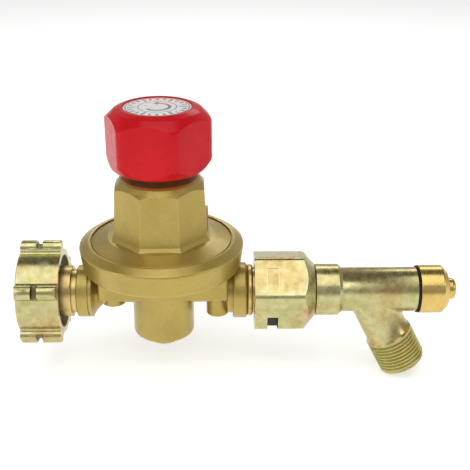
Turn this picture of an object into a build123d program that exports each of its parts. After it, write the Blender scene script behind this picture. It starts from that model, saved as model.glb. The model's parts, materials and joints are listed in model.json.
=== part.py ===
"""Adjustable high-pressure fuel-gas cylinder regulator with a hose-rupture valve.

Millimetres. The pipe axis is X, from the cylinder (x = 0) to the hose outlet, and the
pressure knob turns about a vertical axis, Z. The origin is the centre of the hand nut's
open face, where the nut meets the cylinder valve.
"""
from build123d import *
from math import cos, radians, sin
import os

os.makedirs("parts", exist_ok=True)

# ---- driving dimensions --------------------------------------------------------------
TOWER_X = 48.3            # knob, spring and valve axis, along the pipe axis
SLIP = 0.1                # radial gap of a turning or sliding fit

# cylinder connection, W21.8 x 1/14 left-hand, drawn at its minor diameter
NUT_LENGTH = 14.2
NUT_THREAD_R = 9.74
NUT_THREAD_LENGTH = 7.0
NUT_BACK_WALL_X = 10.5
NUT_RECESS_X = 12.4
NUT_RECESS_R = 12.2
NUT_CORE_R = 14.5
RIDGE_COUNT = 5
RIDGE_TIP_R = 18.2
RIDGE_ROUND_R = 2.5
RIDGE_TURN = 25.0         # first ridge, up from the front
NUT_NOTCH_X = 6.9
SHANK_R = 7.5
PORT_THREAD_R = 6.58      # G1/4, 13.157 mm

# cast body
INLET_FACE_X = 19.2
OUTLET_FACE_X = 77.2
INLET_FLANGE_R = 9.0
OUTLET_FLANGE_R = 9.6
BLOCK_FROM_X = 27.0
BLOCK_TO_X = 70.6
BLOCK_HALF_WIDTH = 10.3
BLOCK_BOTTOM_Z = 1.0
BLOCK_TOP_Z = 13.6
CHANNEL_RIB_R = 4.1
BOSS_R = 10.5
BOSS_BOTTOM_Z = -15.3
INLET_PAD_X = 31.1
OUTLET_PAD_X = 67.1
RIM_R = 27.7
RIM_TOP_Z = 20.3
LIP_INNER_R = 23.9
CLAMP_R = 24.7            # pocket that holds the cover's flange
DIAPHRAGM_SEAT_Z = 16.9
DIAPHRAGM_THICK = 0.8
COVER_FLANGE_TOP_Z = 19.05
CHAMBER_R = 19.4
CHAMBER_FLOOR_Z = 9.4
CHAMBER_LEDGE_Z = 12.6
VALVE_BORE_R = 4.6
VALVE_BORE_FLOOR_Z = -13.0
SEAT_THREAD_R = 5.2
SEAT_BOTTOM_Z = 3.2
OUTLET_DROP_X = 10.6      # drilling from the chamber, from the tower's axis

# spring tower
COVER_STEP_R = 23.5
TOWER_BASE_Z = 21.0
TOWER_TOP_Z = 42.4
TOWER_BASE_R = 16.75      # over the octagon's corners
TOWER_TIP_R = 15.55
TOWER_TURN = 1.5
SPRING_BORE_R = 10.6
ROOF_Z = 37.0
SCREW_R = 5.5
BALL_R = 2.4
BALL_Z = 33.7

# knob
KNOB_BOTTOM_Z = 44.6
KNOB_TOP_Z = 65.8
KNOB_ACROSS_FLATS = 31.5
KNOB_CORNER = 3.9
KNOB_TURN = -10.4
SPIGOT_FLATS = 8.0

# outlet union, G3/8 left-hand
MALE_R = 7.9              # engaged thread, drawn at its pitch radius
UNION_FACE_X = 79.7
UNION_END_X = 100.3
UNION_FLATS = 25.0
UNION_CORNER = 2.8
UNION_TURN = 15.0         # nearest upper corner, up from the front
UNION_NOTCH_X = 85.8
UNION_NOTCH_FLOOR_R = 11.6

# hose-rupture valve
TUBE_R = 7.7
COLLAR_R = 8.9
TUBE_START_X = 100.6
TUBE_END_X = 135.8
VALVE_R = 5.6
BRANCH_X = 118.8
BRANCH_ANGLE = 62.9       # below the pipe axis
BRANCH_NECK_R = 7.6
BRANCH_THREAD_R = 8.331   # G3/8, 16.662 mm
BRANCH_THREAD_FROM = 19.4
BRANCH_THREAD_TO = 31.6
BRANCH_LENGTH = 32.6
BRANCH_BORE_R = 3.4
CAP_INNER_X = 128.7
CAP_SHOULDER_X = 136.6
CAP_R = 8.35
CAP_NECK_R = 7.4
CAP_FACE_X = 147.1
CAP_POCKET_X = 137.5      # floor of the pocket that holds the button
BUTTON_R = 3.7
BUTTON_SHOULDER_X = 142.8
BUTTON_TIP_X = 149.65
CLIP_X = 128.0
STEM_R = 1.5
STEM_TIP_X = 113.5


# ---- helpers -------------------------------------------------------------------------
def outline(corners):
    """Closed flat outline. A corner is (a, b) or (a, b, rounding)."""
    shape = make_face(Polyline(*[c[:2] for c in corners], close=True))
    for a, b, rounding in [c for c in corners if len(c) == 3]:
        corner = [v for v in shape.vertices() if abs(v.X - a) + abs(v.Y - b) < 1e-6]
        shape = fillet(corner, rounding)
    return shape


def turned_x(*corners):
    """Solid turned about the pipe axis from (x, radius) corners."""
    return revolve(outline(corners), Axis.X)


def turned_z(*corners):
    """Solid turned about the Z axis from (radius, z) corners."""
    return revolve(Plane.XZ * outline(corners), Axis.Z)


def at_tower(shape):
    """Moves a shape drawn about the Z axis to the spring tower's axis."""
    return Pos(TOWER_X, 0, 0) * shape


def tube_x(start, end, outer, inner):
    return turned_x((start, inner), (start, outer), (end, outer), (end, inner))


def rod_x(start, end, radius):
    return turned_x((start, 0), (start, radius), (end, radius), (end, 0))


def rod_z(low, high, radius):
    return turned_z((0, low), (radius, low), (radius, high), (0, high))


def coil(radius, wire, length, turns):
    """Helical spring that stands on the XY plane."""
    rise = length - 2 * wire
    path = Helix(rise / turns, rise, radius, center=(0, 0, wire))
    section = Plane(origin=path @ 0, z_dir=path % 0) * Circle(wire)
    return sweep(section, path=path)


def along_x(shape, start):
    """Lays a shape drawn upward from the XY plane along the pipe axis."""
    return Pos(start, 0, 0) * Rot(0, 90, 0) * shape


def ring_section(centre_x, centre_r, section_r):
    """O-ring about the pipe axis."""
    return revolve(Pos(centre_x, centre_r) * Circle(section_r), Axis.X)


# ---- cylinder connection ---------------------------------------------------------------
def hand_nut():
    """Hand nut with five round ridges and a left-hand notch across each of them."""
    section = Circle(NUT_CORE_R)
    for k in range(RIDGE_COUNT):
        ridge = Pos(RIDGE_TIP_R - RIDGE_ROUND_R, 0) * Circle(RIDGE_ROUND_R)
        section += Rot(0, 0, k * 360 / RIDGE_COUNT) * ridge
    section = fillet(section.vertices(), 1.2)
    nut = Rot(-90 - RIDGE_TURN, 0, 0) * along_x(extrude(section, NUT_LENGTH), 0)
    over_tip = RIDGE_TIP_R + 0.1
    nut &= turned_x(
        (0, 0), (0, 14.1), (0.4, 14.55), (0.4, over_tip, 1.1), (NUT_LENGTH, over_tip, 1.2),
        (NUT_LENGTH, 0),
    )
    nut -= turned_x(
        (NUT_NOTCH_X - 1.2, 19), (NUT_NOTCH_X + 1.2, 19), (NUT_NOTCH_X + 0.8, 16.4, 0.4),
        (NUT_NOTCH_X - 0.8, 16.4, 0.4),
    )
    nut -= rod_x(0, NUT_THREAD_LENGTH, NUT_THREAD_R)
    nut -= turned_x(
        (NUT_THREAD_LENGTH, 0), (NUT_THREAD_LENGTH, NUT_THREAD_R),
        (NUT_THREAD_LENGTH + 0.7, 10.4), (NUT_BACK_WALL_X, 10.4, 0.4), (NUT_BACK_WALL_X, 0),
    )
    nut -= rod_x(NUT_BACK_WALL_X, NUT_RECESS_X, SHANK_R + SLIP)
    return nut - turned_x(
        (NUT_RECESS_X, 0), (NUT_RECESS_X, NUT_RECESS_R - 0.8, 0.5), (NUT_LENGTH, NUT_RECESS_R),
        (NUT_LENGTH, 0),
    )


def inlet_nipple():
    """Steel nipple that the hand nut pulls against the cylinder valve."""
    return turned_x(
        (7.4, 3.0), (7.4, 4.4), (8.4, 4.4), (8.4, 9.3), (10.2, 9.3), (10.2, SHANK_R),
        (INLET_FACE_X, SHANK_R), (INLET_FACE_X, PORT_THREAD_R), (22.6, PORT_THREAD_R),
        (22.6, 3.8), (19.4, 3.8), (19.4, 3.0),
    )


def inlet_seal():
    """Flat soft ring that seals on the cylinder valve's face."""
    return turned_x((7.1, 4.4), (7.1, 8.2, 0.4), (8.4, 8.2), (8.4, 4.4))


def nut_backstop_ring():
    """Ring on the nipple's shank that keeps the hand nut from sliding back."""
    return turned_x(
        (12.7, SHANK_R), (12.7, 8.8, 0.3), (17.5, 8.8, 0.4), (17.5, SHANK_R)
    )


def inlet_filter():
    """Sintered thimble in the nipple's inner end."""
    return turned_x(
        (19.4, 3.0), (19.4, 3.7), (22.4, 3.7, 0.8), (22.4, 0), (21.6, 0), (21.6, 3.0)
    )


# ---- cast body -------------------------------------------------------------------------
def body_casting():
    """Diaphragm bowl, valve block, centre boss, two ports and two round pads below."""
    bowl = turned_z(
        (0, 8.4), (17.0, 8.4), (26.7, 10.9, 1.4), (RIM_R, 18.5, 0.9),
        (24.7, RIM_TOP_Z, 0.4), (LIP_INNER_R, RIM_TOP_Z - 0.2),
        (LIP_INNER_R, COVER_FLANGE_TOP_Z), (CLAMP_R, COVER_FLANGE_TOP_Z),
        (CLAMP_R, DIAPHRAGM_SEAT_Z), (0, DIAPHRAGM_SEAT_Z),
    )
    block = Pos(
        (BLOCK_FROM_X + BLOCK_TO_X) / 2, 0, (BLOCK_BOTTOM_Z + BLOCK_TOP_Z) / 2
    ) * Box(BLOCK_TO_X - BLOCK_FROM_X, 2 * BLOCK_HALF_WIDTH, BLOCK_TOP_Z - BLOCK_BOTTOM_Z)
    block = fillet(block.edges().filter_by(Axis.Z), 1.2)
    block = fillet(block.faces().sort_by(Axis.Z)[0].edges(), 0.8)
    boss = turned_z(
        (0, 7), (BOSS_R, 7), (BOSS_R, BOSS_BOTTOM_Z, 1.6), (5.5, BOSS_BOTTOM_Z - 0.6),
        (5.5, -18.4, 0.4), (0, -18.4),
    )
    inlet_pad = Pos(INLET_PAD_X, 0, 0) * turned_z((0, 5), (4.15, 5), (4.15, -4.4, 0.4), (0, -4.4))
    outlet_pad = Pos(OUTLET_PAD_X, 0, 0) * turned_z((0, 5), (3.9, 5), (3.9, -8.8, 0.7), (0, -8.8))
    body = at_tower(bowl + boss) + block + inlet_pad + outlet_pad
    body += rod_x(BLOCK_FROM_X, BLOCK_TO_X, CHANNEL_RIB_R)
    body += inlet_port() + outlet_port()
    return body - gas_passages() - chamber()


def inlet_port():
    """Round flange, a thin slit and a second rim that tapers into the valve block."""
    return turned_x(
        (INLET_FACE_X, 0), (INLET_FACE_X, INLET_FLANGE_R, 0.5), (23.1, INLET_FLANGE_R, 0.2),
        (23.1, 8.3), (23.5, 8.3), (23.5, INLET_FLANGE_R), (24.3, INLET_FLANGE_R), (25.4, 6.9),
        (27.6, 4.6), (28.6, 4.6), (28.6, 0),
    )


def outlet_port():
    return turned_x(
        (69.6, 0), (69.6, 4.0), (70.6, 7.9), (72.3, 7.9), (72.3, OUTLET_FLANGE_R, 0.7),
        (OUTLET_FACE_X, OUTLET_FLANGE_R, 0.9), (OUTLET_FACE_X, 0),
    )


def chamber():
    """Room under the diaphragm: a shallow ring round a deeper middle."""
    top = DIAPHRAGM_SEAT_Z + 0.01
    return at_tower(turned_z(
        (0, CHAMBER_FLOOR_Z), (12.5, CHAMBER_FLOOR_Z, 1.0), (14.5, CHAMBER_LEDGE_Z, 0.8),
        (CHAMBER_R, CHAMBER_LEDGE_Z, 1.2), (CHAMBER_R, top), (0, top),
    ))


def gas_passages():
    """Both port sockets, the valve bore and the drillings that join them."""
    valve_bore = rod_z(VALVE_BORE_FLOOR_Z, 4.0, VALVE_BORE_R)
    seat_thread = rod_z(3.6, CHAMBER_FLOOR_Z + 1, SEAT_THREAD_R)
    outlet_drop = Pos(OUTLET_DROP_X, 0, 0) * rod_z(0, CHAMBER_FLOOR_Z + 1, 2.0)
    drilled = at_tower(valve_bore + seat_thread + outlet_drop)
    drilled += turned_x(
        (INLET_FACE_X, 0), (INLET_FACE_X, PORT_THREAD_R), (22.9, PORT_THREAD_R), (24.9, 1.7),
        (TOWER_X - 3, 1.7), (TOWER_X - 3, 0),
    )
    drilled += rod_x(TOWER_X + OUTLET_DROP_X, 71.5, 2.0)
    drilled += rod_x(71.0, OUTLET_FACE_X, PORT_THREAD_R)
    return drilled


# ---- pressure valve --------------------------------------------------------------------
def seat_insert():
    """Screwed brass seat. The valve closes upward on its lower lip."""
    insert = rod_z(CHAMBER_FLOOR_Z, CHAMBER_FLOOR_Z + 2.0, 7.0)
    hexagon = extrude(Pos(0, 0, CHAMBER_FLOOR_Z) * RegularPolygon(6.9, 6), 2.0)
    stem = turned_z(
        (0, CHAMBER_FLOOR_Z), (0, SEAT_BOTTOM_Z), (2.5, SEAT_BOTTOM_Z), (3.3, 4.2),
        (SEAT_THREAD_R, 4.2), (SEAT_THREAD_R, CHAMBER_FLOOR_Z),
    )
    return at_tower((insert & hexagon) + stem - rod_z(0, 20, 1.6))


def valve_poppet():
    """Guided poppet with a push pin that reaches up to the diaphragm."""
    head = turned_z(
        (0, -4.0), (4.2, -4.0), (4.2, 3.1, 0.4), (3.3, 3.1), (3.3, 1.6), (0.8, 1.6),
        (0.8, 15.6), (0, 15.6),
    )
    grooves = [Rot(0, 0, 90 * k) * Pos(5.0, 0, 0) * Box(2.6, 2.6, 20) for k in range(4)]
    return at_tower(head - grooves - rod_z(-4.0, -1.6, 3.1))


def poppet_pad():
    """Rubber disc that closes on the seat."""
    return at_tower(turned_z((0.8, 1.6), (3.3, 1.6), (3.3, SEAT_BOTTOM_Z), (0.8, SEAT_BOTTOM_Z)))


def poppet_spring():
    low, high = VALVE_BORE_FLOOR_Z, -1.6
    return at_tower(Pos(0, 0, low) * coil(2.6, 0.3, high - low, 7))


def diaphragm():
    """Rubber disc with one rolled fold, clamped at its edge."""
    low = DIAPHRAGM_SEAT_Z
    high = low + DIAPHRAGM_THICK
    flat = turned_z((1.5, low), (24.5, low), (24.5, high), (1.5, high))
    fold_low = low - 1.1
    fold = turned_z(
        (13.4, high), (14.4, fold_low, 0.9), (17.6, fold_low, 0.9), (18.6, high)
    )
    hollow = turned_z(
        (14.35, high), (15.1, fold_low + 0.8, 0.5), (16.9, fold_low + 0.8, 0.5), (17.65, high)
    )
    return at_tower(flat + fold - hollow)


def diaphragm_plate():
    """Pressed plate that spreads the main spring's force."""
    low = DIAPHRAGM_SEAT_Z + DIAPHRAGM_THICK
    return at_tower(turned_z(
        (1.5, low), (11.8, low, 0.5), (11.8, low + 2.4, 0.3), (10.7, low + 2.4, 0.3),
        (10.7, low + 1.2), (6.4, low + 1.2), (6.4, low + 2.6, 0.5), (5.2, low + 2.6, 0.3),
        (5.2, low + 1.2), (1.5, low + 1.2),
    ))


def diaphragm_pusher():
    """Brass button under the diaphragm that bears on the poppet's pin."""
    low = DIAPHRAGM_SEAT_Z
    return at_tower(turned_z(
        (0, low - 1.3), (6.0, low - 1.3, 0.4), (6.0, low), (1.5, low), (1.5, low + 4.6),
        (0, low + 4.6),
    ))


def diaphragm_nut():
    low = DIAPHRAGM_SEAT_Z + DIAPHRAGM_THICK + 1.2
    nut = extrude(Pos(0, 0, low) * RegularPolygon(3.1, 6), 2.2)
    chamfer = turned_z((0, low), (3.1, low), (3.1, low + 1.7), (2.6, low + 2.2), (0, low + 2.2))
    return at_tower((nut & chamfer) - rod_z(low, low + 5, 1.5))


# ---- spring tower ----------------------------------------------------------------------
def bonnet():
    """Cover and octagonal spring tower, one casting."""
    low = DIAPHRAGM_SEAT_Z + DIAPHRAGM_THICK
    cover = turned_z(
        (0, low), (CLAMP_R - 0.1, low), (CLAMP_R - 0.1, COVER_FLANGE_TOP_Z),
        (COVER_STEP_R, COVER_FLANGE_TOP_Z), (COVER_STEP_R, RIM_TOP_Z - 0.5, 0.4),
        (18.0, 21.6, 1.5), (15.2, 22.0), (0, 22.0),
    )
    tower = Rot(0, 0, TOWER_TURN) * loft([
        Pos(0, 0, TOWER_BASE_Z) * octagon(TOWER_BASE_R),
        Pos(0, 0, TOWER_TOP_Z) * octagon(TOWER_TIP_R),
    ])
    tower &= turned_z(
        (0, TOWER_BASE_Z), (17.2, TOWER_BASE_Z), (17.2, 37.9), (14.5, 40.3, 1.5),
        (13.3, 41.8, 0.4), (12.6, TOWER_TOP_Z), (0, TOWER_TOP_Z),
    )
    foot = Rot(0, 0, TOWER_TURN) * loft([
        Pos(0, 0, TOWER_BASE_Z) * octagon(TOWER_BASE_R + 1.4),
        Pos(0, 0, TOWER_BASE_Z + 1.9) * octagon(TOWER_BASE_R - 0.1),
    ])
    rib = Rot(0, 0, TOWER_TURN) * Pos(14.7, 0, 26.1) * Box(2.2, 1.6, 10.2)
    room = turned_z(
        (0, low), (CHAMBER_R - 1.0, low), (CHAMBER_R - 1.0, low + 0.9), (14.6, low + 2.4, 0.8),
        (12.7, low + 2.4), (SPRING_BORE_R, low + 4.2), (SPRING_BORE_R, ROOF_Z, 1.0), (0, ROOF_Z),
    )
    screw_hole = rod_z(ROOF_Z - 1, TOWER_TOP_Z, SCREW_R + SLIP)
    breather = Pos(0, 19.0, 0) * rod_z(low, 23, 0.7)
    return at_tower(cover + foot + tower + rib - room - screw_hole - breather)


def octagon(corner_r):
    """Octagon with a flat side to the front."""
    return Rot(0, 0, 22.5) * RegularPolygon(corner_r, 8)


def spring_plate():
    """Upper spring seat. The adjusting screw presses it down through a ball."""
    plate = turned_z(
        (0, 30.6), (6.3, 30.6), (6.3, 29.4, 0.4), (7.0, 29.4, 0.3), (7.0, 30.6), (9.9, 30.6),
        (9.9, 32.2, 0.5), (0, 32.2),
    )
    return at_tower(plate - Pos(0, 0, BALL_Z) * Sphere(BALL_R + 0.02))


def thrust_ball():
    return at_tower(Pos(0, 0, BALL_Z) * Sphere(BALL_R))


def main_spring():
    low, high = DIAPHRAGM_SEAT_Z + DIAPHRAGM_THICK + 1.2, 30.6
    return at_tower(Pos(0, 0, low) * coil(8.55, 0.8, high - low, 4.25))


def adjusting_screw():
    """Fine-thread screw, drawn plain, with a hexagon spigot for the knob."""
    shaft = turned_z(
        (0, 34.6), (4.7, 34.6), (SCREW_R, 35.4), (SCREW_R, 46.0), (0, 46.0)
    )
    spigot = extrude(Pos(0, 0, 46.0) * RegularPolygon(SPIGOT_FLATS / 2, 6, major_radius=False), 12.5)
    return at_tower(shaft + spigot - rod_z(50, 60, 2.0) - Pos(0, 0, BALL_Z) * Sphere(BALL_R + 0.06))


# ---- knob ------------------------------------------------------------------------------
def knob():
    """Six-sided moulded knob, chamfered at both ends, hollow below."""
    sketch = RegularPolygon(KNOB_ACROSS_FLATS / 2, 6, major_radius=False)
    sketch = fillet(sketch.vertices(), KNOB_CORNER)
    prism = extrude(Pos(0, 0, KNOB_BOTTOM_Z) * sketch, KNOB_TOP_Z - KNOB_BOTTOM_Z)
    prism &= turned_z(
        (0, KNOB_BOTTOM_Z), (12.6, KNOB_BOTTOM_Z, 0.9), (15.6, 46.0, 1.5), (17.65, 49.2, 2.0),
        (17.5, 61.7, 2.0), (14.2, 64.9, 2.5), (11.9, KNOB_TOP_Z, 0.8), (0, KNOB_TOP_Z),
    )
    prism = Rot(0, 0, KNOB_TURN) * prism
    cavity = turned_z(
        (8.2, KNOB_BOTTOM_Z), (10.2, KNOB_BOTTOM_Z), (13.0, 48.5), (13.0, 58.5, 2.0), (8.2, 58.5)
    )
    ribs = [Rot(0, 0, KNOB_TURN + 60 * k) * Pos(11, 0, 54) * Box(9, 1.6, 12) for k in range(6)]
    hollow = cavity - ribs + rod_z(KNOB_BOTTOM_Z, 46.0, SCREW_R + 0.2)
    hollow += extrude(
        Pos(0, 0, 46.0) * RegularPolygon(SPIGOT_FLATS / 2 + 0.03, 6, major_radius=False), 12.5
    )
    hollow += rod_z(58, 62, 2.2) + rod_z(61, KNOB_TOP_Z, 5.2)
    hollow += rod_z(KNOB_TOP_Z - 0.8, KNOB_TOP_Z, 11.1)
    return at_tower(prism - hollow)


def knob_screw():
    """Cross-head screw that holds the knob on the spigot."""
    screw = turned_z((0, 50.5), (1.98, 50.5), (1.98, 61.0), (4.2, 61.0), (4.2, 63.4, 1.0), (0, 63.4))
    cross = [Rot(0, 0, turn) * Pos(0, 0, 63) * Box(3.6, 0.8, 1.6) for turn in (0, 90)]
    return at_tower(screw - cross)


def knob_label():
    """Thin disc let into the knob's top."""
    low = KNOB_TOP_Z - 0.8
    return at_tower(turned_z((0, low), (11.0, low), (11.0, low + 0.45, 0.15), (0, low + 0.45)))


# ---- outlet union ----------------------------------------------------------------------
def outlet_nipple():
    """Nipple screwed into the casting, with a conical seat in its open end."""
    return turned_x(
        (71.4, 3.2), (71.4, PORT_THREAD_R), (OUTLET_FACE_X, PORT_THREAD_R),
        (OUTLET_FACE_X, 8.9, 0.8), (79.2, 8.9, 0.8), (79.2, MALE_R), (89.3, MALE_R), (89.3, 6.2),
        (84.1, 3.2),
    )


def union_nut():
    """Six-sided union nut. Notches in three corners mark its left-hand thread."""
    section = RegularPolygon(UNION_FLATS / 2, 6, major_radius=False)
    section = fillet(section.vertices(), UNION_CORNER)
    nut = along_x(extrude(section, UNION_END_X - UNION_FACE_X), UNION_FACE_X)
    for k in (1, 2, 3):
        notch = Pos(UNION_NOTCH_X, 0, UNION_NOTCH_FLOOR_R + 1.5) * Box(3.6, 12, 3)
        nut -= Rot(60 * k, 0, 0) * notch
    nut -= Rot(-30, 0, 0) * Pos(UNION_NOTCH_X, -0.4, UNION_FLATS / 2) * Box(3.9, 7.8, 0.5)
    nut = Rot(90 - UNION_TURN, 0, 0) * nut
    nut &= turned_x(
        (UNION_FACE_X, 0), (UNION_FACE_X, 13.8), (UNION_FACE_X + 0.4, 14.2), (96.1, 14.2),
        (UNION_END_X, 9.3), (UNION_END_X, 0),
    )
    nut -= rod_x(UNION_FACE_X, 91.9, MALE_R + 0.06)
    return nut - rod_x(91.9, UNION_END_X, 6.0)


def swivel_nipple():
    """Tail that the union nut draws against the outlet's cone. It screws into the valve."""
    return turned_x(
        (85.7, 2.3), (85.7, 3.8), (89.6, 6.1), (89.6, 7.6), (91.6, 7.6), (91.6, 5.9),
        (TUBE_START_X, 5.9), (TUBE_START_X, 5.0), (105.8, 5.0), (105.8, 2.3),
    )


# ---- hose-rupture valve ----------------------------------------------------------------
def branch_axis():
    angle = radians(BRANCH_ANGLE)
    return Plane(origin=(BRANCH_X, 0, 0), x_dir=(0, 1, 0), z_dir=(cos(angle), 0, -sin(angle)))


def rupture_valve_body():
    """Turned tube with a slanted, male-threaded hose branch."""
    tube = turned_x(
        (TUBE_START_X, 0), (TUBE_START_X, COLLAR_R, 0.4), (108.6, COLLAR_R, 0.3), (110.0, TUBE_R),
        (TUBE_END_X, TUBE_R, 0.2), (TUBE_END_X, 0),
    )
    branch = branch_axis() * turned_z(
        (0, 0), (BRANCH_NECK_R, 0), (BRANCH_NECK_R, 18.4), (BRANCH_THREAD_R, BRANCH_THREAD_FROM),
        (BRANCH_THREAD_R, BRANCH_THREAD_TO), (7.2, BRANCH_LENGTH), (0, BRANCH_LENGTH),
    )
    body = tube + branch
    joint = body.edges().filter_by(is_branch_joint)
    body = fillet(joint, 1.2)
    body -= rod_x(TUBE_START_X, 106, 5.0)
    body -= rod_x(105.8, TUBE_END_X, VALVE_R)
    body -= rod_x(127.6, TUBE_END_X, 6.0)
    body -= branch_axis() * turned_z(
        (0, 0), (BRANCH_BORE_R, 0), (BRANCH_BORE_R, 30.0), (5.4, BRANCH_LENGTH), (0, BRANCH_LENGTH)
    )
    return body


def is_branch_joint(edge):
    """True for the seam where the branch runs into the tube."""
    middle = edge @ 0.5
    along = (middle.X - BRANCH_X) * cos(radians(BRANCH_ANGLE)) - middle.Z * sin(radians(BRANCH_ANGLE))
    on_tube = abs((middle.Y ** 2 + middle.Z ** 2) ** 0.5 - TUBE_R) < 0.05
    return on_tube and 0 < along < 16 and 111 < middle.X < 134


def seat_ring():
    """Pressed-in seat of the rupture valve."""
    return turned_x(
        (112.9, 3.4), (112.9, 4.0), (114.3, 4.2), (114.3, VALVE_R), (116.2, VALVE_R),
        (116.2, 3.0), (114.0, 3.0),
    )


def check_piston():
    """Excess-flow piston. Its collar slides in the tube and is slotted for the gas."""
    piston = turned_x(
        (106.9, 0), (106.9, 5.5, 0.3), (109.0, 5.5, 0.2), (109.0, 4.25), (111.0, 4.25, 0.3),
        (111.0, 3.6), (110.2, 3.6), (110.2, 0),
    )
    slots = [Rot(120 * k, 0, 0) * Pos(108, 0, 5.4) * Box(6, 3.0, 2.2) for k in range(3)]
    return piston - slots


def check_seal():
    """Rubber face of the piston."""
    return turned_x((110.2, 0), (110.2, 3.6), (111.0, 3.6), (111.1, 3.5), (111.1, 0))


def check_spring():
    return along_x(coil(4.85, 0.25, 114.3 - 109.0, 4), 109.0)


def end_cap():
    """Brass cap that closes the tube and guides the reset button."""
    stem_hole_r = STEM_R + 0.05
    pocket_r = BUTTON_R + SLIP
    return turned_x(
        (CAP_INNER_X, stem_hole_r), (CAP_INNER_X, 5.9), (TUBE_END_X, 5.9), (TUBE_END_X, CAP_NECK_R),
        (CAP_SHOULDER_X, CAP_NECK_R), (CAP_SHOULDER_X, CAP_R, 0.2), (144.6, CAP_R, 0.8),
        (146.4, 6.6, 0.8), (CAP_FACE_X, 4.6, 0.3), (CAP_FACE_X, pocket_r), (CAP_POCKET_X, pocket_r),
        (CAP_POCKET_X, stem_hole_r), (133.6, stem_hole_r), (133.6, 2.5), (132.4, 2.5),
        (132.4, stem_hole_r),
    )


def cap_oring():
    section_r = (CAP_SHOULDER_X - TUBE_END_X) / 2 - 0.01
    return ring_section((TUBE_END_X + CAP_SHOULDER_X) / 2, CAP_NECK_R + section_r + 0.01, section_r)


def stem_oring():
    return ring_section(133.0, 2.03, 0.45)


def push_button():
    """Reset button and the long pin that lifts the piston off its seat."""
    groove_from, groove_to = CLIP_X - 0.05, CLIP_X + 0.65
    return turned_x(
        (STEM_TIP_X, 0), (STEM_TIP_X, STEM_R), (groove_from, STEM_R), (groove_from, 1.15),
        (groove_to, 1.15), (groove_to, STEM_R), (BUTTON_SHOULDER_X, STEM_R),
        (BUTTON_SHOULDER_X, BUTTON_R), (BUTTON_TIP_X, BUTTON_R, 1.3), (BUTTON_TIP_X, 0),
    )


def stem_clip():
    """Spring clip on the pin that keeps the button in the cap."""
    ring = tube_x(CLIP_X, CLIP_X + 0.6, 3.0, 1.17)
    return ring - Pos(CLIP_X + 0.3, 0, -2.2) * Box(2, 1.7, 2.4)


def button_spring():
    return along_x(coil(2.6, 0.25, BUTTON_SHOULDER_X - CAP_POCKET_X, 4), CAP_POCKET_X)


# ---- all the pieces --------------------------------------------------------------------
PIECES = [
    hand_nut, inlet_nipple, inlet_seal, nut_backstop_ring, inlet_filter, body_casting,
    seat_insert, valve_poppet, poppet_pad, poppet_spring, diaphragm, diaphragm_plate,
    diaphragm_pusher, diaphragm_nut, bonnet, spring_plate, thrust_ball, main_spring,
    adjusting_screw, knob, knob_screw, knob_label, outlet_nipple, union_nut, swivel_nipple,
    rupture_valve_body, seat_ring, check_piston, check_seal, check_spring, end_cap, cap_oring,
    stem_oring, push_button, stem_clip, button_spring,
]

for piece in PIECES:
    export_step(piece(), f"parts/{piece.__name__}.step")
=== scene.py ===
"""Looks for the gas-cylinder regulator: materials, label, cut threads, springs, light and camera.

Metres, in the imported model's frame. The pipe axis is X and the knob's axis is vertical.
"""

import json
from math import cos, pi, radians, sin

import bmesh
import bpy
from mathutils import Matrix, Vector

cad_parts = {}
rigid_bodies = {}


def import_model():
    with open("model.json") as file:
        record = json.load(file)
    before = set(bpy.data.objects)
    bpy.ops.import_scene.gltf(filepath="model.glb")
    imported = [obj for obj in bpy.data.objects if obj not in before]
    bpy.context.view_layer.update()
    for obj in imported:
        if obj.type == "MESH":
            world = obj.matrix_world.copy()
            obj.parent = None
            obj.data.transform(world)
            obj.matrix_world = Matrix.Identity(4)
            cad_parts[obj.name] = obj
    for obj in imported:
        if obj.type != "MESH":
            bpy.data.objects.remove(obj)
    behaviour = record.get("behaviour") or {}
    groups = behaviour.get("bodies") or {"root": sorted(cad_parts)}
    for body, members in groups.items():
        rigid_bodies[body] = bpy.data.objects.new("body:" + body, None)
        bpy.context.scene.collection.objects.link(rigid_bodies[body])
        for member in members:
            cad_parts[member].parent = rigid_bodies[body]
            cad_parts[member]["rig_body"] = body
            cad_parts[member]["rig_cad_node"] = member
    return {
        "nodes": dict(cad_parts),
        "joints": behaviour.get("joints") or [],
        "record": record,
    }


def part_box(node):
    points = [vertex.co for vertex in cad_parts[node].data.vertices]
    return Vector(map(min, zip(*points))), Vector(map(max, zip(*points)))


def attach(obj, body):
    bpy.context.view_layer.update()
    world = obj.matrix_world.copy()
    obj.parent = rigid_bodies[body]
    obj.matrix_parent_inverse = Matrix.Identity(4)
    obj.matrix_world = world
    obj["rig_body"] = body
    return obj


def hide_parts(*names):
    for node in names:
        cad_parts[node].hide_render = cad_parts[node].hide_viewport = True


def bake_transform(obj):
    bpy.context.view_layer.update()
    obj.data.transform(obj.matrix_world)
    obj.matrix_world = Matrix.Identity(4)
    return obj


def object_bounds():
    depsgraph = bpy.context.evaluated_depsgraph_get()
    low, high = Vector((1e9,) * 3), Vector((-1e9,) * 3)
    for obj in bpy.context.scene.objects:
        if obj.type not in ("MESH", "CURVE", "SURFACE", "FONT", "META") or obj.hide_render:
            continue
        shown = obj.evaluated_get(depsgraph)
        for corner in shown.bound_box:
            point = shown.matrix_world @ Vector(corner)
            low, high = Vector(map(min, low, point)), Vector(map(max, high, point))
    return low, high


MM = 0.001

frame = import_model()
CAD_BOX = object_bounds()
NODES = frame["nodes"]

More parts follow.
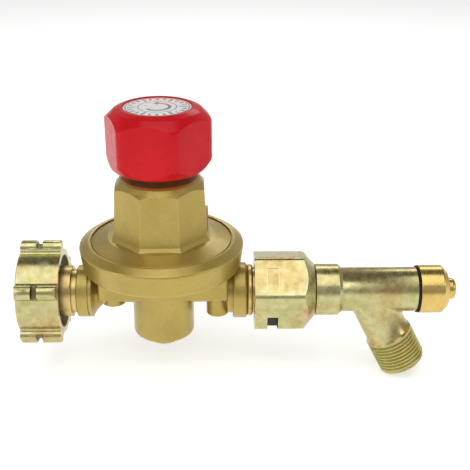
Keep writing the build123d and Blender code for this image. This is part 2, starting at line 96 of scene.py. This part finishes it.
# ---- places, read from the frame -------------------------------------------------------
TOWER_X = (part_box("knob_label")[0].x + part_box("knob_label")[1].x) / 2
MOUNTS = {mount["name"]: mount for mount in frame["record"]["mounts"]}
BRANCH = MOUNTS["hose_outlet"]
BRANCH_AXIS = Vector(BRANCH["axis"]).normalized()
BRANCH_MIDDLE = Vector(BRANCH["pos_m"])
BRANCH_THREAD_R = BRANCH["dims"]["r_mm"] * MM
BRANCH_THREAD_LENGTH = BRANCH["dims"]["length_mm"] * MM
INLET = MOUNTS["cylinder_inlet"]
INLET_THREAD_R = INLET["dims"]["r_mm"] * MM
INLET_THREAD_LENGTH = INLET["dims"]["length_mm"] * MM
FLOOR_Z = CAD_BOX[0].z - 0.4 * MM


# ---- sizes that belong to the looks ----------------------------------------------------
INCH = 25.4 * MM
BRANCH_PITCH = INCH / 19      # G3/8
BRANCH_THREAD_DEPTH = 0.78 * MM
INLET_PITCH = INCH / 14       # W21.8 x 1/14
INLET_THREAD_DEPTH = 1.0 * MM
CUTTER_OVERLAP = 0.12 * MM    # how far a thread cutter stands out of the metal
ROOT_FLAT = 0.07              # half of the cutter's flat tip, as a share of its width
SMOOTH_BELOW = radians(28)

# Place of the painted shade in the union nut's notches.
UNION_NOTCH_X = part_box("union_nut")[0].x + 6.1 * MM
UNION_NOTCH_HALF_WIDTH = 1.84 * MM
UNION_NOTCH_OUT = 11.55 * MM  # the dark part of a notch starts this far from the axis
UNION_NOTCH_TURNS = (135, 195, 255)
# Where the hand nut gets painted shade: the groove across its ridges and the room behind its flange.
NUT_GROOVE_X = (5.7 * MM, 8.1 * MM)
NUT_GROOVE_R = (16.2 * MM, 17.7 * MM)
NUT_RECESS_X = 12.3 * MM
NUT_RECESS_R = 12.6 * MM

LABEL_TICKS = 24
LABEL_TICK_R = (8.1 * MM, 9.7 * MM)
LABEL_LONG_TICKS = 6
LABEL_LONG_TICK_R = (6.9 * MM, 9.7 * MM)
LABEL_RING_R = (10.05 * MM, 10.4 * MM)
LABEL_INNER_RING_R = (6.0 * MM, 6.35 * MM)
ARROW_R = (3.4 * MM, 4.5 * MM)
ARROW_MIDDLE_R = 3.95 * MM
ARROW_FROM, ARROW_TO = -2.5, 1.6
ARROW_HEAD_FROM, ARROW_HEAD_TIP = 1.55, 1.95
ARROW_HEAD_SPREAD = 5.0 * MM
RED_INK_FROM_Y = 1.5 * MM

CAMERA_TARGET = Vector((0.07309, 0, 0.02079))
CAMERA_DISTANCE = 0.3043
CAMERA_TURN, CAMERA_TILT, CAMERA_ROLL = -0.018, radians(24.06), 0.003
CAMERA_LENS_MM = 69.0
LIGHTS_AIM = (0.073, 0, 0.01)
SOFTBOXES = (  # name, place, width and height, watts
    ("above", (0.05, -0.27, 0.76), (0.70, 0.80), 3.3),
    ("left", (-0.55, -0.35, 0.32), (0.30, 0.40), 0.85),
    ("right", (0.75, -0.30, 0.40), (0.30, 0.36), 0.7),
    ("back", (0.10, 0.60, 0.45), (0.60, 0.20), 0.9),
)
FLOOR_HALF = 4.0
FLOOR_GLOW = 0.47


# ---- node helpers ----------------------------------------------------------------------
class Shader:
    """A material's node tree, with short names for the nodes that these looks use."""

    def __init__(self, name):
        self.material = bpy.data.materials.new(name)
        self.material.use_nodes = True
        self.tree = self.material.node_tree
        self.bsdf = self.tree.nodes["Principled BSDF"]
        self.place = self.tree.nodes.new("ShaderNodeTexCoord").outputs["Object"]

    def link(self, source, target):
        self.tree.links.new(source, target)

    def set(self, **values):
        for key, value in values.items():
            self.bsdf.inputs[key.replace("_", " ")].default_value = value
        return self

    def math(self, operation, a, b=0.5):
        node = self.tree.nodes.new("ShaderNodeMath")
        node.operation = operation
        for socket, value in zip(node.inputs, (a, b)):
            if isinstance(value, (int, float)):
                socket.default_value = value
            else:
                self.link(value, socket)
        return node.outputs[0]

    def stretched(self, scale):
        """Object coordinates scaled by (x, y, z)."""
        node = self.tree.nodes.new("ShaderNodeMapping")
        node.inputs["Scale"].default_value = scale
        self.link(self.place, node.inputs["Vector"])
        return node.outputs[0]

    def noise(self, scale, detail=3.0, place=None, rough=0.55):
        node = self.tree.nodes.new("ShaderNodeTexNoise")
        node.inputs["Scale"].default_value = scale
        node.inputs["Detail"].default_value = detail
        node.inputs["Roughness"].default_value = rough
        self.link(place or self.place, node.inputs["Vector"])
        return node.outputs["Fac"]

    def ramp(self, fac, *stops):
        """Colour ramp from (position, colour) stops. A number stands for a grey."""
        node = self.tree.nodes.new("ShaderNodeValToRGB")
        elements = node.color_ramp.elements
        while len(elements) < len(stops):
            elements.new(0.5)
        for element, (position, colour) in zip(elements, stops):
            element.position = position
            grey = isinstance(colour, (int, float))
            element.color = (colour,) * 3 + (1,) if grey else (*colour, 1)
        self.link(fac, node.inputs[0])
        return node.outputs[0]

    def mix(self, fac, a, b, blend="MIX"):
        node = self.tree.nodes.new("ShaderNodeMix")
        node.data_type = "RGBA"
        node.blend_type = blend
        for socket, value in ((node.inputs[0], fac), (node.inputs[6], a), (node.inputs[7], b)):
            if isinstance(value, tuple):
                socket.default_value = (*value, 1)
            elif isinstance(value, (int, float)):
                socket.default_value = value
            else:
                self.link(value, socket)
        return node.outputs[2]

    def axes(self, place=None):
        node = self.tree.nodes.new("ShaderNodeSeparateXYZ")
        self.link(place or self.place, node.inputs[0])
        return node.outputs

    def between(self, value, low, high):
        return self.math("MULTIPLY", self.math("GREATER_THAN", value, low),
                         self.math("LESS_THAN", value, high))

    def bump(self, height, strength, distance):
        node = self.tree.nodes.new("ShaderNodeBump")
        node.inputs["Strength"].default_value = strength
        node.inputs["Distance"].default_value = distance
        self.link(height, node.inputs["Height"])
        self.link(node.outputs[0], self.bsdf.inputs["Normal"])

    def edge(self, radius):
        """1 along sharp edges and 0 on faces, from how far a rounded edge would turn the face."""
        bevel = self.tree.nodes.new("ShaderNodeBevel")
        bevel.samples = 6
        bevel.inputs["Radius"].default_value = radius
        face = self.tree.nodes.new("ShaderNodeNewGeometry").outputs["Normal"]
        dot = self.tree.nodes.new("ShaderNodeVectorMath")
        dot.operation = "DOT_PRODUCT"
        self.link(bevel.outputs[0], dot.inputs[0])
        self.link(face, dot.inputs[1])
        return self.ramp(dot.outputs["Value"], (0.86, 1.0), (0.985, 0.0))

    def colour(self, socket):
        self.link(socket, self.bsdf.inputs["Base Color"])

    def roughness(self, socket):
        self.link(socket, self.bsdf.inputs["Roughness"])


# ---- materials -------------------------------------------------------------------------
def casting_paint():
    """Satin gold-coloured coat over a sand-cast surface."""
    s = Shader("gold_casting").set(Metallic=0.62, Coat_Weight=0.35, Coat_Roughness=0.22)
    cloud = s.noise(55, 4)
    grain = s.noise(2600, 2)
    tone = s.ramp(cloud, (0.3, (0.37, 0.265, 0.044)), (0.55, (0.44, 0.32, 0.060)),
                  (0.75, (0.49, 0.365, 0.080)))
    coat = s.mix(s.ramp(grain, (0.35, 0.0), (0.7, 0.32)), tone, (0.56, 0.435, 0.15))
    s.colour(s.mix(s.math("MULTIPLY", s.edge(0.45 * MM), 0.6), coat, (0.72, 0.60, 0.30)))
    s.roughness(s.ramp(s.noise(300, 3), (0.3, 0.30), (0.7, 0.42)))
    s.bump(s.mix(0.45, s.noise(1500, 3), s.noise(420, 4)), 0.6, 0.00011)
    return s.material


def zinc_plate(name, stain_and_painted_shade=None):
    """Yellow-passivated zinc: pale yellow-green with tan, pink and olive clouds."""
    s = Shader(name).set(Metallic=1.0, Specular_IOR_Level=0.6)
    wide = s.noise(62, 2.5)
    fine = s.noise(330, 4)
    film = s.ramp(
        wide, (0.30, (0.50, 0.32, 0.13)), (0.42, (0.52, 0.42, 0.17)), (0.50, (0.55, 0.53, 0.28)),
        (0.57, (0.46, 0.48, 0.19)), (0.68, (0.56, 0.35, 0.20)),
    )
    blotch = s.ramp(fine, (0.36, (0.36, 0.27, 0.11)), (0.5, (0.50, 0.44, 0.20)),
                    (0.66, (0.61, 0.56, 0.33)))
    colour = s.mix(0.42, film, blotch)
    colour = s.mix(s.math("MULTIPLY", s.edge(0.3 * MM), 0.5), colour, (0.80, 0.74, 0.55))
    rough = s.ramp(s.noise(420, 3), (0.3, 0.20), (0.7, 0.36))
    # The optional mask and colour lay painted shade on the union and hand nuts and an olive thread film
    # on the valve body.
    if stain_and_painted_shade:
        mask, stain_and_shade_tint = stain_and_painted_shade(s)
        colour = s.mix(mask, colour, stain_and_shade_tint)
        rough = s.mix(mask, rough, (0.6, 0.6, 0.6))
    s.colour(colour)
    s.roughness(rough)
    turned = s.noise(900, 2, s.stretched((6.0, 0.25, 0.25)))
    s.bump(s.mix(0.4, turned, s.noise(1100, 3)), 0.20, 0.00006)
    return s.material


def union_notch_painted_shade(s):
    """Painted shade inside the three notches that mark the left-hand thread: their floors are coloured
    near-black.
    """
    x, y, z = s.axes()
    inside = None
    for turn in UNION_NOTCH_TURNS:
        out = s.math("SUBTRACT", s.math("MULTIPLY", z, cos(radians(turn))),
                     s.math("MULTIPLY", y, sin(radians(turn))))
        one = s.math("GREATER_THAN", out, UNION_NOTCH_OUT)
        inside = one if inside is None else s.math("MAXIMUM", inside, one)
    across = s.between(x, UNION_NOTCH_X - UNION_NOTCH_HALF_WIDTH, UNION_NOTCH_X + UNION_NOTCH_HALF_WIDTH)
    return s.math("MULTIPLY", across, inside), (0.014, 0.012, 0.008)


def nut_groove_and_recess_shade(s):
    """Painted shade in the groove across the hand nut's ridges and in the room behind its flange, both
    coloured dark olive.
    """
    x, y, z = s.axes()
    radius = s.math("SQRT", s.math("ADD", s.math("MULTIPLY", y, y), s.math("MULTIPLY", z, z)))
    groove = s.math("MULTIPLY", s.between(x, *NUT_GROOVE_X), s.between(radius, *NUT_GROOVE_R))
    recess = s.math("MULTIPLY", s.math("GREATER_THAN", x, NUT_RECESS_X),
                    s.math("LESS_THAN", radius, NUT_RECESS_R))
    # Painted shade: the groove is darkened at 0.6 and the recess at 0.8.
    mask = s.math("MAXIMUM", s.math("MULTIPLY", groove, 0.6), s.math("MULTIPLY", recess, 0.8))
    return mask, (0.05, 0.04, 0.015)


def thread_film(s):
    """Olive film that stays in the branch's thread."""
    x, _, z = s.axes()
    along = s.math("ADD",
                   s.math("MULTIPLY", s.math("SUBTRACT", x, BRANCH_MIDDLE.x), BRANCH_AXIS.x),
                   s.math("MULTIPLY", s.math("SUBTRACT", z, BRANCH_MIDDLE.z), BRANCH_AXIS.z))
    mask = s.math("GREATER_THAN", along, -BRANCH_THREAD_LENGTH / 2)
    return s.math("MULTIPLY", mask, 0.55), (0.52, 0.49, 0.16)


def polished_brass():
    s = Shader("polished_brass").set(Metallic=1.0)
    lathe = s.noise(1400, 2, s.stretched((5.0, 0.3, 0.3)))
    s.colour(s.ramp(s.noise(130, 3), (0.35, (0.60, 0.42, 0.12)), (0.65, (0.72, 0.53, 0.18))))
    s.roughness(s.ramp(lathe, (0.3, 0.18), (0.7, 0.32)))
    s.bump(lathe, 0.22, 0.00004)
    return s.material


def dull_brass():
    s = Shader("dull_brass").set(Metallic=1.0)
    lathe = s.noise(1100, 2, s.stretched((5.0, 0.3, 0.3)))
    s.colour(s.ramp(s.noise(210, 4), (0.32, (0.45, 0.32, 0.12)), (0.5, (0.62, 0.47, 0.19)),
                    (0.7, (0.70, 0.55, 0.26))))
    s.roughness(s.ramp(lathe, (0.3, 0.28), (0.7, 0.42)))
    s.bump(lathe, 0.25, 0.00006)
    return s.material


def sintered_bronze():
    s = Shader("sintered_bronze").set(Metallic=0.8)
    cells = s.tree.nodes.new("ShaderNodeTexVoronoi")
    cells.inputs["Scale"].default_value = 3200
    s.link(s.place, cells.inputs["Vector"])
    s.colour(s.ramp(cells.outputs["Distance"], (0.1, (0.52, 0.37, 0.19)), (0.7, (0.20, 0.13, 0.06))))
    s.roughness(s.ramp(cells.outputs["Distance"], (0.0, 0.5), (1.0, 0.8)))
    s.bump(cells.outputs["Distance"], 0.7, 0.0001)
    return s.material


def red_plastic():
    """Glossy moulded plastic with a little haze from handling."""
    s = Shader("red_plastic").set(Specular_IOR_Level=0.09, Coat_Weight=0.11, Coat_Roughness=0.05)
    s.colour(s.ramp(s.noise(70, 3), (0.35, (0.53, 0.006, 0.011)), (0.7, (0.61, 0.009, 0.015))))
    s.roughness(s.ramp(s.noise(240, 4), (0.3, 0.20), (0.75, 0.34)))
    s.bump(s.noise(1300, 2), 0.07, 0.00005)
    return s.material


def label_foil():
    """Silver-white foil with a printed scale: a ring, ticks round it and a turning arrow."""
    s = Shader("label_foil").set(Metallic=0.25, Coat_Weight=0.4, Coat_Roughness=0.12)
    x, y, _ = s.axes()
    east = s.math("SUBTRACT", x, TOWER_X)
    radius = s.math("SQRT", s.math("ADD", s.math("MULTIPLY", east, east), s.math("MULTIPLY", y, y)))
    angle = s.math("ARCTAN2", y, east)
    step = s.math("FRACT", s.math("MULTIPLY", angle, LABEL_TICKS / (2 * pi)), 0)
    tick = s.math("MULTIPLY", s.math("LESS_THAN", step, 0.36), s.between(radius, *LABEL_TICK_R))
    long_step = s.math("FRACT", s.math("MULTIPLY", angle, LABEL_LONG_TICKS / (2 * pi)), 0)
    long_tick = s.math("MULTIPLY", s.math("LESS_THAN", long_step, 0.09),
                       s.between(radius, *LABEL_LONG_TICK_R))
    ring = s.between(radius, *LABEL_RING_R)
    inner_ring = s.between(radius, *LABEL_INNER_RING_R)
    arc = s.math("MULTIPLY", s.between(radius, *ARROW_R), s.between(angle, ARROW_FROM, ARROW_TO))
    off_middle = s.math("ABSOLUTE", s.math("SUBTRACT", radius, ARROW_MIDDLE_R))
    half_width = s.math("MULTIPLY", s.math("SUBTRACT", ARROW_HEAD_TIP, angle), ARROW_HEAD_SPREAD)
    head = s.math("MULTIPLY", s.between(angle, ARROW_HEAD_FROM, ARROW_HEAD_TIP),
                  s.math("LESS_THAN", off_middle, half_width))
    print_mask = tick
    for mark in (long_tick, ring, inner_ring, arc, head):
        print_mask = s.math("MAXIMUM", print_mask, mark)
    foil = s.ramp(s.noise(900, 3), (0.3, (0.74, 0.745, 0.74)), (0.7, (0.84, 0.84, 0.83)))
    ink = s.mix(s.math("GREATER_THAN", y, RED_INK_FROM_Y), (0.06, 0.09, 0.08), (0.55, 0.02, 0.02))
    s.colour(s.mix(s.math("MULTIPLY", print_mask, 0.9), foil, ink))
    s.roughness(s.ramp(s.noise(500, 2), (0.3, 0.26), (0.7, 0.38)))
    s.bump(s.noise(700, 3), 0.10, 0.00005)
    return s.material


def rubber(name, grey):
    s = Shader(name).set(Specular_IOR_Level=0.35)
    s.colour(s.ramp(s.noise(500, 3), (0.3, grey * 0.75), (0.7, grey * 1.3)))
    s.roughness(s.ramp(s.noise(800, 3), (0.3, 0.55), (0.7, 0.75)))
    s.bump(s.noise(2200, 3), 0.3, 0.00006)
    return s.material


def steel(name, rough_low, rough_high, grey):
    s = Shader(name).set(Metallic=1.0)
    s.colour(s.ramp(s.noise(260, 4), (0.3, grey * 0.82), (0.7, grey * 1.08)))
    s.roughness(s.ramp(s.noise(900, 3), (0.3, rough_low), (0.7, rough_high)))
    s.bump(s.noise(1500, 3, s.stretched((3.0, 3.0, 0.4))), 0.2, 0.00005)
    return s.material


MATERIALS = {
    "casting": casting_paint(),
    "plated": zinc_plate("zinc_plate"),
    "bright_brass": polished_brass(),
    "plain_brass": dull_brass(),
    "sintered_bronze": sintered_bronze(),
    "red_plastic": red_plastic(),
    "label_foil": label_foil(),
    "black_rubber": rubber("black_rubber", 0.004),
    "fibre_seal": rubber("fibre_seal", 0.055),
    "spring_steel": steel("spring_steel", 0.22, 0.36, 0.50),
    "bright_steel": steel("bright_steel", 0.16, 0.30, 0.62),
}
# Parts with their own look: painted shade in the nuts' notches and recess, an olive film on the valve
# body's thread, dull brass on the outlet nipple.
MARKED = {
    "union_nut": zinc_plate("zinc_plate_union_notch_shade", union_notch_painted_shade),
    "hand_nut": zinc_plate("zinc_plate_hand_nut_painted_shade", nut_groove_and_recess_shade),
    "rupture_valve_body": zinc_plate("zinc_plate_valve", thread_film),
    "outlet_nipple": MATERIALS["plain_brass"],
}


def paint(obj, material):
    obj.data.materials.clear()
    obj.data.materials.append(material)


def paint_nodes():
    for part in frame["record"]["subparts"]:
        node = part["node"]
        paint(NODES[node], MARKED.get(node, MATERIALS[part["material_slot"]]))


# ---- threads ---------------------------------------------------------------------------
def to_axis(origin, axis):
    """Matrix that stands the Z axis on a line."""
    return Matrix.Translation(origin) @ axis.to_track_quat("Z", "X").to_matrix().to_4x4()


def left_hand_cutter(crest_r, root_r, pitch, start, end, wide):
    """Closed V-shaped bar wound as a left-hand helix round Z, for cutting a thread."""
    steps = 64
    count = int((end - start) / pitch * steps)
    mesh = bmesh.new()
    rings = []
    for i in range(count + 1):
        angle = -2 * pi * i / steps
        z = start + pitch * i / steps
        across = ((crest_r, -wide / 2), (root_r, -wide * ROOT_FLAT), (root_r, wide * ROOT_FLAT),
                  (crest_r, wide / 2))
        rings.append([
            mesh.verts.new((r * cos(angle), r * sin(angle), z + dz)) for r, dz in across
        ])
    for a, b in zip(rings, rings[1:]):
        for k in range(4):
            mesh.faces.new((a[k], a[(k + 1) % 4], b[(k + 1) % 4], b[k]))
    mesh.faces.new(rings[0][::-1])
    mesh.faces.new(rings[-1])
    bmesh.ops.recalc_face_normals(mesh, faces=mesh.faces)
    data = bpy.data.meshes.new("cutter")
    mesh.to_mesh(data)
    mesh.free()
    cutter = bpy.data.objects.new("cutter", data)
    bpy.context.scene.collection.objects.link(cutter)
    return cutter


def copy_of(node, name):
    """A free copy of a CAD node, to be changed and then to stand for it."""
    piece = NODES[node].copy()
    piece.data = NODES[node].data.copy()
    piece.name = name
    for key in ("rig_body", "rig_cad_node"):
        del piece[key]
    piece.parent = None
    piece.matrix_world = Matrix.Identity(4)
    bpy.context.scene.collection.objects.link(piece)
    return piece


def cut_thread(node, name, body, slot, cutter):
    """A copy of the CAD node with a real thread cut in it, standing for that node."""
    piece = copy_of(node, name)
    mesh = bmesh.new()
    mesh.from_mesh(piece.data)
    bmesh.ops.remove_doubles(mesh, verts=mesh.verts, dist=0.000002)
    mesh.to_mesh(piece.data)
    mesh.free()
    cut = piece.modifiers.new("thread", "BOOLEAN")
    cut.operation = "DIFFERENCE"
    cut.solver = "EXACT"
    cut.object = cutter
    evaluated = piece.evaluated_get(bpy.context.evaluated_depsgraph_get())
    piece.data = bpy.data.meshes.new_from_object(evaluated)
    piece.modifiers.clear()
    bpy.data.objects.remove(cutter)
    piece.data.polygons.foreach_set("use_smooth", [True] * len(piece.data.polygons))
    piece.data.set_sharp_from_angle(angle=SMOOTH_BELOW)
    paint(piece, MARKED.get(node, MATERIALS[slot]))
    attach(piece, body)
    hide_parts(node)
    return piece


def branch_thread():
    """G3/8 left-hand, outside the hose branch, running out just before its neck."""
    cutter = left_hand_cutter(
        BRANCH_THREAD_R + CUTTER_OVERLAP, BRANCH_THREAD_R - BRANCH_THREAD_DEPTH, BRANCH_PITCH,
        -BRANCH_THREAD_LENGTH / 2 + 0.2 * MM, BRANCH_THREAD_LENGTH / 2 + 1.6 * MM,
        0.88 * BRANCH_PITCH,
    )
    cutter.matrix_world = to_axis(BRANCH_MIDDLE, BRANCH_AXIS)
    bpy.context.view_layer.update()
    return cut_thread("rupture_valve_body", "threaded_valve_body", "rupture_valve", "plated", cutter)


def inlet_thread():
    """W21.8 x 1/14 left-hand, inside the hand nut."""
    cutter = left_hand_cutter(
        INLET_THREAD_R - CUTTER_OVERLAP, INLET_THREAD_R + INLET_THREAD_DEPTH, INLET_PITCH,
        -1.2 * MM, INLET_THREAD_LENGTH - 0.9 * MM, 0.86 * INLET_PITCH,
    )
    cutter.matrix_world = to_axis(Vector((0, 0, 0)), Vector((1, 0, 0)))
    bpy.context.view_layer.update()
    return cut_thread("hand_nut", "threaded_hand_nut", "hand_nut", "plated", cutter)


# ---- springs ---------------------------------------------------------------------------
def springs():
    """Spring-steel copies of the springs that the joints list as deforming, put in place of the CAD
    springs; they are not made to stretch or shorten.
    """
    done = set()
    for joint in frame["joints"]:
        for entry in joint.get("deforming_nodes", []):
            node = entry["node"]
            if node in done or not node.endswith("_spring"):
                continue
            done.add(node)
            axis = "xyz".index(entry["mode"][-1])
            fixed = entry["fixed_end_" + entry["mode"][-1] + "_m"]
            ends = sorted(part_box(node), key=lambda corner: abs(corner[axis] - fixed))
            piece = copy_of(node, "working_" + node)
            paint(piece, MATERIALS["spring_steel"])
            start = Vector((0, 0, 0))
            end = Vector((0, 0, 0))
            start[axis] = ends[0][axis]
            end[axis] = ends[1][axis]
            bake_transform(piece)
            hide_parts(node)


# ---- set, light and camera -------------------------------------------------------------
def floor():
    data = bpy.data.meshes.new("floor")
    corners = [(x * FLOOR_HALF, y * FLOOR_HALF, FLOOR_Z) for x, y in ((-1, -1), (1, -1), (1, 1), (-1, 1))]
    data.from_pydata(corners, [], [(0, 1, 2, 3)])
    piece = bpy.data.objects.new("floor", data)
    bpy.context.scene.collection.objects.link(piece)
    material = bpy.data.materials.new("white_floor")
    material.use_nodes = True
    shader = material.node_tree.nodes["Principled BSDF"]
    shader.inputs["Base Color"].default_value = (0.93, 0.93, 0.925, 1)
    shader.inputs["Roughness"].default_value = 0.85
    shader.inputs["Emission Color"].default_value = (1, 1, 1, 1)
    shader.inputs["Emission Strength"].default_value = FLOOR_GLOW
    piece.data.materials.append(material)


def softbox(name, place, size, power, aim):
    data = bpy.data.lights.new(name, "AREA")
    data.shape = "RECTANGLE"
    data.size, data.size_y = size
    data.energy = power
    lamp = bpy.data.objects.new(name, data)
    lamp.location = place
    lamp.rotation_euler = (Vector(aim) - Vector(place)).to_track_quat("-Z", "Y").to_euler()
    bpy.context.scene.collection.objects.link(lamp)


def room_light():
    """Pale round the sides and dark overhead, so that turned metal shows dark and pale bands."""
    world = bpy.data.worlds.new("room")
    world.use_nodes = True
    tree = world.node_tree
    place = tree.nodes.new("ShaderNodeTexCoord")
    split = tree.nodes.new("ShaderNodeSeparateXYZ")
    ramp = tree.nodes.new("ShaderNodeValToRGB")
    tree.links.new(place.outputs["Generated"], split.inputs[0])
    tree.links.new(split.outputs[2], ramp.inputs[0])
    tree.links.new(ramp.outputs[0], tree.nodes["Background"].inputs["Color"])
    stops = ((0.0, 0.95), (0.06, 0.60), (0.14, 0.28), (0.45, 0.52), (0.80, 0.16), (1.0, 0.04))
    elements = ramp.color_ramp.elements
    while len(elements) < len(stops):
        elements.new(0.5)
    for element, (position, grey) in zip(elements, stops):
        element.position = position
        element.color = (grey, grey, grey * 0.985, 1)
    tree.nodes["Background"].inputs["Strength"].default_value = 1.0
    bpy.context.scene.world = world


def lights():
    room_light()
    for name, place, size, power in SOFTBOXES:
        softbox(name, place, size, power, LIGHTS_AIM)


def camera():
    """Seen from the front, a little above."""
    back = Vector((sin(CAMERA_TURN) * cos(CAMERA_TILT), -cos(CAMERA_TURN) * cos(CAMERA_TILT),
                   sin(CAMERA_TILT)))
    right = Vector((cos(CAMERA_TURN), sin(CAMERA_TURN), 0))
    up = back.cross(right)
    rotation = Matrix((right, up, back)).transposed() @ Matrix.Rotation(CAMERA_ROLL, 3, "Z")
    data = bpy.data.cameras.new("camera")
    data.lens = CAMERA_LENS_MM
    data.sensor_width = 36.0
    data.clip_start = 0.01
    lens = bpy.data.objects.new("camera", data)
    lens.matrix_world = Matrix.Translation(CAMERA_TARGET + back * CAMERA_DISTANCE) @ rotation.to_4x4()
    bpy.context.scene.collection.objects.link(lens)
    bpy.context.scene.camera = lens


camera()
paint_nodes()
branch_thread()
inlet_thread()
springs()
floor()
lights()
bpy.context.scene.view_settings.view_transform = "Standard"
